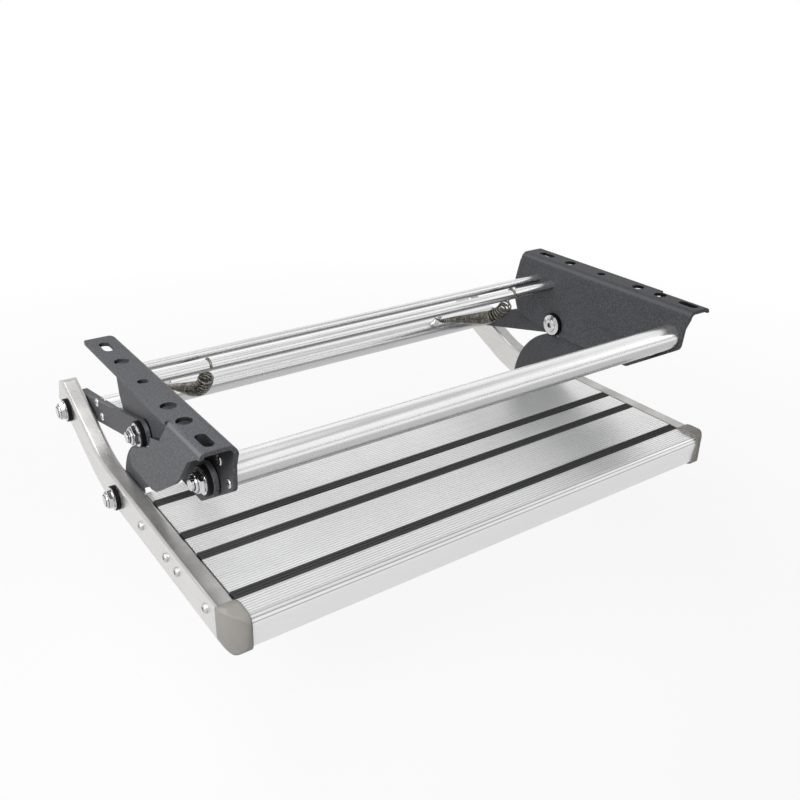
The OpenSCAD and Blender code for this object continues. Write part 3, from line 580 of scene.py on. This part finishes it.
@dataclass(frozen=True)
class SpringWire(Finish):
    """Drawn spring wire, oiled and blued, with brown patches."""

    patch: Colour = (0.1, 0.088, 0.063)

    def detail(self, graph: Graph) -> None:
        """Adds the patches, drawing scratches, uneven gloss and painted shade between the coils."""
        patches = graph.noise([130.0] * 3, 4.0, 0.6)
        scratch = graph.noise([1600.0] * 3, 2.0)
        body = graph.mix(graph.span(patches, 0.38, 0.62, 0.0, 1.0), self.colour, self.patch)
        body = graph.mix(graph.span(scratch, 0.55, 0.8, 0.0, 0.5), body, self.shade(1.5))
        # painted shade between the coils, from ambient occlusion
        graph.drive("Base Color", graph.mix(graph.crevices(11.0), body, self.shade(0.06)))
        graph.drive("Roughness", graph.span(scratch, 0.3, 0.7, self.roughness - 0.08,
                                            self.roughness + 0.12))
        graph.drive("Normal", graph.bump(scratch, 0.02, 0.3))


@dataclass(frozen=True)
class Finishes:
    """All finishes of the part."""

    powder: Finish = PowderCoat("powder_coat_charcoal", Slot.POWDER, (0.108, 0.11, 0.119), 0.5,
                                  0.0, 0.16)
    # rail: painted darker reflection on its top face, and edges darkened to a painted edge line
    rail: Finish = BrushedMetal("rail_anodised", Slot.ANODISED, (0.76, 0.75, 0.73), 0.3, 0.85,
                                0.5, Grain.ALONG_Y, 0.03, 0.7, edge_gain=0.85)
    # tread: painted shade in its grooves and nose lines, and a painted darker reflection on its
    # nose face
    tread: RibbedMetal = RibbedMetal("tread_anodised", Slot.ANODISED, (0.98, 0.98, 0.98), 0.32,
                                     0.8, 0.5, Grain.ALONG_X, 0.02, groove_painted_shade=0.5,
                                     underside_painted_reflection=0.84, under_from=(0.0, 0.3), cut_depth=0.25)
    # tube and rod: painted reflection of a darker floor on their undersides
    tube: Finish = BrushedMetal("tube_polished", Slot.ANODISED, (0.99, 0.99, 0.99), 0.25, 0.9,
                                0.5, Grain.ALONG_X, 0.015, underside_painted_reflection=0.56,
                                under_from=(0.1, 0.24), streak=0.12)
    rod: Finish = BrushedMetal("rod_polished", Slot.STAINLESS, (0.93, 0.93, 0.93), 0.24, 0.95,
                               0.5, Grain.ALONG_X, 0.01, underside_painted_reflection=0.42,
                               under_from=(-0.15, 0.05))
    bright: Finish = BrightSteel("fastener_steel", Slot.STAINLESS, (0.66, 0.66, 0.67), 0.16, 1.0)
    screw: Finish = BrightSteel("screw_steel", Slot.STAINLESS, (0.62, 0.615, 0.6), 0.42, 0.9)
    nylon: Finish = MouldedPlastic("black_nylon", Slot.NYLON, (0.007, 0.007, 0.008), 0.45,
                                   0.0, 0.08)
    rubber: Finish = MouldedPlastic("grip_rubber", Slot.RUBBER, (0.056, 0.056, 0.058), 0.72,
                                    0.0, 0.3, 800.0, 0.1, seam_mm=1.8)
    cap: Finish = MouldedPlastic("cap_plastic_grey", Slot.CAP, (0.36, 0.34, 0.314), 0.5,
                                 edge_mm=3.0, edge_gain=1.0)
    spring: Finish = SpringWire("spring_wire", Slot.SPRING, (0.29, 0.28, 0.252), 0.26, 0.95)


class Wardrobe:
    """Makes each finish once and puts it on nodes and pieces."""

    def __init__(self, frame: Frame, finishes: Finishes) -> None:
        """Keeps the frame's nodes and the finishes.

        Args:
            finishes: The part's finishes.
        """
        self.nodes: dict[str, bpy.types.Object] = frame["nodes"]
        self.finishes = finishes
        self._made: dict[str, bpy.types.Material] = {}

    def material(self, finish: Finish) -> bpy.types.Material:
        """The material of a finish, made on first use."""
        if finish.name not in self._made:
            self._made[finish.name] = finish.make()
        return self._made[finish.name]

    def dress(self, finish: Finish, names: Iterable[str]) -> None:
        """Puts a finish on frame nodes.

        Args:
            finish: The finish.
            names: Names of the nodes.
        """
        for name in names:
            slots = self.nodes[name].material_slots
            for slot in slots:
                slot.link = "OBJECT"
                slot.material = self.material(finish)
            LOG.info("dressed %s in %s", name, finish.name)

    def piece(self, name: str, mesh: bpy.types.Mesh, finish: Finish,
              body: Optional[Body]) -> bpy.types.Object:
        """Makes an object from a mesh, with its finish, slot and body.

        Args:
            name: Name of the piece.
            mesh: Its mesh, in metres in the frame.
            finish: Its finish.
            body: Body that it rides on, or None where it rides on none.

        Returns:
            The object.
        """
        thing = bpy.data.objects.new(name, mesh)
        bpy.context.scene.collection.objects.link(thing)
        mesh.materials.append(self.material(finish))
        if body is not None:
            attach(thing, body.value)
        LOG.info("built %s with %d faces", name, len(mesh.polygons))
        return thing


def swept(name: str, path: Sequence[Vector], radius: Callable[[float], float],
          sides: int) -> bpy.types.Mesh:
    """Round wire along a path, with rings that don't twist.

    Args:
        name: Name of the mesh.
        path: Points in millimetres.
        radius: Radius in millimetres for a share of the path from 0 to 1.
        sides: Sides of the wire.

    Returns:
        A closed smooth mesh in metres.
    """
    built = bmesh.new()
    count = len(path)
    normal = (path[1] - path[0]).cross(Vector((1.0, 0.2, 0.1))).normalized()
    rings = []
    for i, point in enumerate(path):
        ahead = (path[min(i + 1, count - 1)] - path[max(i - 1, 0)]).normalized()
        normal = (normal - normal.dot(ahead) * ahead).normalized()
        side = ahead.cross(normal)
        r = radius(i / (count - 1))
        rings.append([
            built.verts.new((point + r * (math.cos(a) * normal + math.sin(a) * side)) * MM)
            for a in (2 * math.pi * k / sides for k in range(sides))])
    for low, high in zip(rings, rings[1:]):
        for k in range(sides):
            built.faces.new((low[k], low[(k + 1) % sides], high[(k + 1) % sides], high[k]))
    built.faces.new(list(reversed(rings[0])))
    built.faces.new(rings[-1])
    bmesh.ops.recalc_face_normals(built, faces=built.faces)
    mesh = bpy.data.meshes.new(name)
    built.to_mesh(mesh)
    built.free()
    mesh.polygons.foreach_set("use_smooth", [True] * len(mesh.polygons))
    return mesh


@dataclass
class Brackets:
    """Pressed brackets, their cross members and what holds them."""

    paint: tuple[str, ...] = ("left_bracket", "right_bracket")
    tube: tuple[str, ...] = ("front_cross_tube",)
    rods: tuple[str, ...] = ("upper_rod", "lower_rod")
    bright: tuple[str, ...] = ("front_tube_screws", "bracket_pivot_bolts",
                               "bracket_pivot_washers", "bracket_pivot_nuts")
    nylon: tuple[str, ...] = ("bracket_pivot_bushes",)

    def dress(self, wardrobe: Wardrobe) -> None:
        """Puts the finishes on the bracket nodes."""
        finishes = wardrobe.finishes
        wardrobe.dress(finishes.powder, self.paint)
        wardrobe.dress(finishes.tube, self.tube)
        wardrobe.dress(finishes.rod, self.rods)
        wardrobe.dress(finishes.bright, self.bright)
        wardrobe.dress(finishes.nylon, self.nylon)


@dataclass
class Links:
    """Front and rear links with the rear cross tube between them."""

    paint: tuple[str, ...] = ("left_rear_link", "right_rear_link", "left_front_link",
                              "right_front_link")
    tube: tuple[str, ...] = ("rear_cross_tube",)
    bright: tuple[str, ...] = ("rear_tube_screws", "spring_posts", "upper_pivot_bolts",
                               "upper_pivot_washers", "upper_pivot_nuts", "lower_pivot_heads")
    nylon: tuple[str, ...] = ("rear_link_bushes", "front_link_bushes")

    def dress(self, wardrobe: Wardrobe) -> None:
        """Puts the finishes on the link nodes."""
        finishes = wardrobe.finishes
        wardrobe.dress(finishes.powder, self.paint)
        wardrobe.dress(finishes.tube, self.tube)
        wardrobe.dress(finishes.bright, self.bright)
        wardrobe.dress(finishes.nylon, self.nylon)


@dataclass
class Step:
    """Rails, ribbed tread, grip strips and end caps."""

    rails: tuple[str, ...] = ("left_rail", "right_rail")
    tread: tuple[str, ...] = ("tread",)
    strips: tuple[str, ...] = ("grip_strip_1", "grip_strip_2", "grip_strip_3", "grip_strip_4")
    caps: tuple[str, ...] = ("left_end_cap", "right_end_cap")
    screws: tuple[str, ...] = ("tread_screws",)
    bright: tuple[str, ...] = ("lower_pivot_bolts", "lower_pivot_washers", "lower_pivot_nuts")
    nylon: tuple[str, ...] = ("upper_rail_bushes", "lower_rail_bushes")

    def dress(self, wardrobe: Wardrobe) -> None:
        """Puts the finishes on the step's nodes."""
        finishes = wardrobe.finishes
        wardrobe.dress(finishes.rail, self.rails)
        low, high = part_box(self.tread[0])
        wardrobe.dress(replace(finishes.tread, front=low[1], top=high[2]), self.tread)
        wardrobe.dress(finishes.rubber, self.strips)
        wardrobe.dress(finishes.cap, self.caps)
        wardrobe.dress(finishes.screw, self.screws)
        wardrobe.dress(finishes.bright, self.bright)
        wardrobe.dress(finishes.nylon, self.nylon)


@dataclass
class PivotEnds:
    """Thread on the bolt ends and the nylon ring inside each lock nut, on both sides."""

    bolt_r: float = 5.0
    pitch: float = 1.5
    thread_rise: float = 0.28
    bracket_nut_end: float = 267.5
    bracket_bolt_end: float = 270.0
    rail_nut_end: float = 286.5
    ring_r: float = 5.45
    ring_thick: float = 0.4
    bracket_pivots: tuple[Point, ...] = ((-92.6, -47.7), (50.4, -71.7))
    upper_pivot: Point = (216.407, -111.682)
    lower_pivot: Point = (86.9, -150.2)
    turn_steps: int = 28

    def build(self, wardrobe: Wardrobe) -> None:
        """Builds the threads of the bracket pivots and the rings of all pivots."""
        finishes = wardrobe.finishes
        for side, sign in (("left", -1), ("right", 1)):
            for place, at in zip(("front", "rear"), self.bracket_pivots):
                thread = swept(f"{side}_{place}_thread", self._helix(sign, at),
                               lambda t: self.thread_rise * min(1.0, 8 * t, 8 * (1 - t)) + 0.02, 6)
                wardrobe.piece(thread.name, thread, finishes.bright, Body.BRACKETS)
                self._ring(wardrobe, f"{side}_{place}_nut_ring", sign, at,
                           self.bracket_nut_end, Body.BRACKETS)
            self._ring(wardrobe, f"{side}_upper_nut_ring", sign, self.upper_pivot,
                       self.rail_nut_end, Body.REAR_LINKS)
            self._ring(wardrobe, f"{side}_lower_nut_ring", sign, self.lower_pivot,
                       self.rail_nut_end, Body.STEP)

    def _helix(self, sign: int, at: Point) -> list[Vector]:
        """Centre line of the thread on a bracket bolt."""
        start, end = self.bracket_nut_end + 0.2, self.bracket_bolt_end - 0.45
        turns = (end - start) / self.pitch
        steps = round(turns * self.turn_steps)
        return [Vector((sign * (start + (end - start) * i / steps),
                        at[0] + self.bolt_r * math.cos(2 * math.pi * turns * i / steps),
                        at[1] + self.bolt_r * math.sin(2 * math.pi * turns * i / steps)))
                for i in range(steps + 1)]

    def _ring(self, wardrobe: Wardrobe, name: str, sign: int, at: Point, x: float,
              body: Body) -> None:
        """Nylon ring in the mouth of a lock nut's collar.

        Args:
            wardrobe: Where the finishes come from.
            name: Name of the piece.
            sign: 1 on the right and -1 on the left.
            at: Pivot as y and z.
            x: Distance of the collar's face from the middle.
            body: Body that the nut is on.
        """
        built = bmesh.new()
        around, sides = 40, 8
        rows = []
        for i in range(around):
            a = 2 * math.pi * i / around
            row = []
            for k in range(sides):
                b = 2 * math.pi * k / sides
                r = self.ring_r + self.ring_thick * math.cos(b)
                row.append(built.verts.new(Vector((
                    sign * (x + 0.5 * self.ring_thick * math.sin(b)),
                    at[0] + r * math.cos(a), at[1] + r * math.sin(a))) * MM))
            rows.append(row)
        for i in range(around):
            near, far = rows[i], rows[(i + 1) % around]
            for k in range(sides):
                built.faces.new((near[k], near[(k + 1) % sides], far[(k + 1) % sides], far[k]))
        bmesh.ops.recalc_face_normals(built, faces=built.faces)
        mesh = bpy.data.meshes.new(name)
        built.to_mesh(mesh)
        built.free()
        mesh.polygons.foreach_set("use_smooth", [True] * len(mesh.polygons))
        wardrobe.piece(name, mesh, wardrobe.finishes.nylon, body)


@dataclass
class Spring:
    """Tension spring from its hook on the lower rod to its loop on a post of the rear tube."""

    name: str
    node: str
    hook_x: float
    post_x: float
    wire_d: float = 1.9
    coil_d: float = 15.0
    turns: int = 38
    open_turns: float = 7.0
    open_share: float = 0.36
    rod_r: float = 5.5
    rod_at: Point = (61.7, -27.0)
    rear_pivot: Point = (50.4, -71.7)
    rear_angle: float = math.radians(-13.54157)
    tube_along: float = 123.2
    tube_lift: float = 2.9
    tube_r: float = 12.25
    post_angle: float = math.radians(135.0)
    groove_h: float = 8.5
    loop_r: float = 4.25
    steps_per_turn: int = 22
    sides: int = 10

    def _seat(self) -> tuple[Vector, Vector]:
        """Middle of the loop on the post, and the direction across the post."""
        c, s = math.cos(self.rear_angle), math.sin(self.rear_angle)
        tube = Vector((0.0, self.rear_pivot[0] + self.tube_along * c - self.tube_lift * s,
                       self.rear_pivot[1] + self.tube_along * s + self.tube_lift * c))
        a = self.rear_angle + self.post_angle
        seat = tube + (self.tube_r + self.groove_h) * Vector((0.0, math.cos(a), math.sin(a)))
        seat.x = self.post_x
        return seat, Vector((0.0, math.sin(a), -math.cos(a)))

    def _wound(self, t: float) -> float:
        """Turns wound up to the share t: open coils first, close coils after."""
        if t < self.open_share:
            return self.open_turns * t / self.open_share
        rest = (t - self.open_share) / (1.0 - self.open_share)
        return self.open_turns + (self.turns - self.open_turns) * rest

    def path(self) -> list[Vector]:
        """Centre line of the wire, from the hook to the loop.

        Returns:
            Points in millimetres.
        """
        wire_r = self.wire_d / 2
        coil_r = (self.coil_d - self.wire_d) / 2
        hook_r = self.rod_r + wire_r + 0.05
        rod = Vector((self.hook_x, *self.rod_at))
        seat, across = self._seat()
        start = rod + Vector((0.0, 7.7, -12.2))
        goal = seat - 1.5 * self.loop_r * across
        drift = goal - start
        p = (start, start + Vector((0.0, 10.0, -28.0)),
             start + Vector((0.5 * drift.x, 0.48 * drift.y, 0.6 * drift.z)), goal)
        points = [rod + hook_r * Vector((0.0, math.cos(a), math.sin(a)))
                  for a in (math.radians(190 - 7 * i) for i in range(31))]
        count = self.turns * self.steps_per_turn
        for i in range(1, count):
            t = i / count
            u = 1.0 - t
            middle = u ** 3 * p[0] + 3 * u * u * t * p[1] + 3 * u * t * t * p[2] + t ** 3 * p[3]
            ahead = (u * u * (p[1] - p[0]) + 2 * u * t * (p[2] - p[1])
                     + t * t * (p[3] - p[2])).normalized()
            side = ahead.cross(Vector((1.0, 0.0, 0.0))).normalized()
            other = ahead.cross(side)
            phi = 2 * math.pi * self._wound(t)
            r = coil_r * min(1.0, 0.8 + t * 4) * min(1.0, 0.22 + u * 1.62)
            points.append(middle + r * (math.cos(phi) * side + math.sin(phi) * other))
        for i in range(28):
            a = math.radians(200 + 10 * i)
            points.append(seat + self.loop_r * (
                math.sin(a) * Vector((1.0, 0.0, 0.0)) + math.cos(a) * across))
        return points

    def build(self, wardrobe: Wardrobe) -> None:
        """Builds the wire in place of its node."""
        points = self.path()
        mesh = swept(self.name, points, lambda t: self.wire_d / 2, self.sides)
        thing = wardrobe.piece(self.name, mesh, wardrobe.finishes.spring, None)
        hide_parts(self.node)
        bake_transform(thing)


@dataclass
class Camera:
    """Camera at the photograph's angle, in metres in the frame."""

    at: tuple[float, float, float] = (-0.4789, -0.6528, 0.3049)
    azimuth: float = math.radians(-35.6556)
    elevation: float = math.radians(25.7659)
    roll: float = math.radians(1.1198)
    lens: float = 40.33
    sensor: float = 36.0

    def build(self) -> None:
        """Makes the scene's camera."""
        data = bpy.data.cameras.new("photo_camera")
        data.lens, data.sensor_width = self.lens, self.sensor
        data.clip_start, data.clip_end = 0.01, 60.0
        back = Vector((math.sin(self.azimuth) * math.cos(self.elevation),
                       -math.cos(self.azimuth) * math.cos(self.elevation),
                       math.sin(self.elevation)))
        right = (-back).cross(Vector((0.0, 0.0, 1.0))).normalized()
        up = right.cross(-back)
        c, s = math.cos(self.roll), math.sin(self.roll)
        axes = Matrix((c * right + s * up, -s * right + c * up, back)).transposed()
        camera = bpy.data.objects.new("photo_camera", data)
        camera.matrix_world = Matrix.Translation(self.at) @ axes.to_4x4()
        bpy.context.scene.collection.objects.link(camera)
        bpy.context.scene.camera = camera


@dataclass(frozen=True)
class Softbox:
    """One rectangular lamp, aimed at a point."""

    name: str
    at: tuple[float, float, float]
    aim: tuple[float, float, float]
    size: tuple[float, float]
    power: float
    spread: float = 180.0

    def build(self) -> None:
        """Makes the lamp."""
        data = bpy.data.lights.new(self.name, "AREA")
        data.shape = "RECTANGLE"
        data.size, data.size_y = self.size
        data.energy = self.power
        data.spread = math.radians(self.spread)
        lamp = bpy.data.objects.new(self.name, data)
        lamp.location = self.at
        lamp.rotation_mode = "QUATERNION"
        lamp.rotation_quaternion = (Vector(self.aim) - Vector(self.at)).to_track_quat("-Z", "Y")
        bpy.context.scene.collection.objects.link(lamp)


@dataclass
class Studio:
    """Pale floor below the whole travel of the step, white surround and soft lamps."""

    floor_size: float = 14.0
    floor_drop: float = 0.14
    floor_colour: Colour = (0.86, 0.86, 0.86)
    floor_glow: float = 0.9
    shadow_reach: tuple[float, float] = (0.35, 1.3)
    ambient: float = 0.15
    lamps: tuple[Softbox, ...] = (
        Softbox("overhead_box", (-0.45, 0.1, 1.1), (-0.15, 0.0, -0.1), (1.0, 0.7), 6.5),
        Softbox("front_left_box", (-0.75, -0.4, 0.42), (-0.3, -0.02, -0.08), (0.4, 0.4), 1.1, 75.0),
        Softbox("right_fill_box", (1.7, -0.7, 0.6), (0.0, 0.0, -0.1), (0.8, 0.9), 2.0),
    )

    def build(self, lowest: float) -> None:
        """Makes the floor, the surround and the lamps.

        Args:
            lowest: Height of the object's lowest point at rest.
        """
        self._floor(lowest - self.floor_drop)
        self._surround()
        for lamp in self.lamps:
            lamp.build()

    def _floor(self, height: float) -> None:
        """Pale floor: white to the camera further out, and with the object's shadow near it."""
        built = bmesh.new()
        bmesh.ops.create_grid(built, x_segments=1, y_segments=1, size=self.floor_size / 2)
        mesh = bpy.data.meshes.new("floor")
        built.to_mesh(mesh)
        built.free()
        floor = bpy.data.objects.new("floor", mesh)
        floor.location.z = height
        bpy.context.scene.collection.objects.link(floor)
        graph = Graph("floor_pale")
        graph.surface.inputs["Base Color"].default_value = (*self.floor_colour, 1.0)
        graph.surface.inputs["Roughness"].default_value = 0.9
        graph.surface.inputs["Specular IOR Level"].default_value = 0.0
        glow = graph.add("ShaderNodeEmission", inputs={"Color": (1, 1, 1, 1), "Strength": 1.0})
        rays = graph.add("ShaderNodeLightPath")
        seen = graph.math("MAXIMUM", rays.outputs["Is Camera Ray"], rays.outputs["Is Glossy Ray"])
        away = graph.add("ShaderNodeVectorMath", {"operation": "LENGTH"},
                         {0: graph.place((1.0, 1.0, 1.0))})
        near, far = self.shadow_reach
        share = graph.math("MULTIPLY", seen,
                           graph.span(away.outputs["Value"], near, far, self.floor_glow, 1.0))
        mix = graph.add("ShaderNodeMixShader", inputs={
            0: share, 1: graph.surface.outputs["BSDF"], 2: glow.outputs["Emission"]})
        out = graph.tree.nodes["Material Output"]
        graph.tree.links.new(mix.outputs["Shader"], out.inputs["Surface"])
        mesh.materials.append(graph.material)
        floor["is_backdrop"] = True

    def _surround(self) -> None:
        """White surround for the camera, a banded studio for reflections, soft grey light."""
        world = bpy.data.worlds.new("studio")
        world.use_nodes = True
        bpy.context.scene.world = world
        tree = world.node_tree
        nodes, links = tree.nodes, tree.links
        background = nodes["Background"]
        place = nodes.new("ShaderNodeTexCoord")
        parts = nodes.new("ShaderNodeSeparateXYZ")
        links.new(place.outputs["Generated"], parts.inputs[0])
        bands = nodes.new("ShaderNodeValToRGB")
        links.new(parts.outputs["Z"], bands.inputs["Fac"])
        ramp = bands.color_ramp
        ramp.elements[0].position, ramp.elements[0].color = 0.0, (1.0, 1.0, 1.0, 1.0)
        ramp.elements[1].position, ramp.elements[1].color = 1.0, (0.8, 0.8, 0.8, 1.0)
        for position, level in ((0.12, 1.0), (0.16, 0.12), (0.22, 0.12), (0.27, 1.0),
                                (0.74, 1.0), (0.8, 0.35), (0.86, 0.35), (0.9, 0.9)):
            stop = ramp.elements.new(position)
            stop.color = (level, level, level, 1.0)
        rays = nodes.new("ShaderNodeLightPath")
        pick = nodes.new("ShaderNodeMix")
        pick.data_type = "RGBA"
        pick.inputs[6].default_value = (self.ambient,) * 3 + (1.0,)
        links.new(rays.outputs["Is Glossy Ray"], pick.inputs["Factor"])
        links.new(bands.outputs["Color"], pick.inputs[7])
        white = nodes.new("ShaderNodeMix")
        white.data_type = "RGBA"
        links.new(rays.outputs["Is Camera Ray"], white.inputs["Factor"])
        links.new(pick.outputs[2], white.inputs[6])
        white.inputs[7].default_value = (1.0, 1.0, 1.0, 1.0)
        links.new(white.outputs[2], background.inputs["Color"])
        background.inputs["Strength"].default_value = 1.0


def box_rows() -> list[list[float]]:
    """The shown object's lowest and highest corner as plain lists."""
    return [[float(value) for value in corner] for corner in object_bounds()]


def main() -> None:
    """Builds and dresses the step, the studio and the camera."""
    logging.basicConfig(level=logging.INFO, format="%(name)s: %(message)s")
    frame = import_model()
    cad = box_rows()
    bpy.context.scene.view_settings.view_transform = "Standard"
    Camera().build()
    wardrobe = Wardrobe(frame, Finishes())
    for assembly in (Brackets(), Links(), Step()):
        assembly.dress(wardrobe)
    PivotEnds().build(wardrobe)
    for spring in (Spring("left_tension_spring", "left_spring", -183.0, -190.0),
                   Spring("right_tension_spring", "right_spring", 187.0, 159.0)):
        spring.build(wardrobe)
    Studio().build(cad[0][2])


if __name__ == "__main__":
    main()
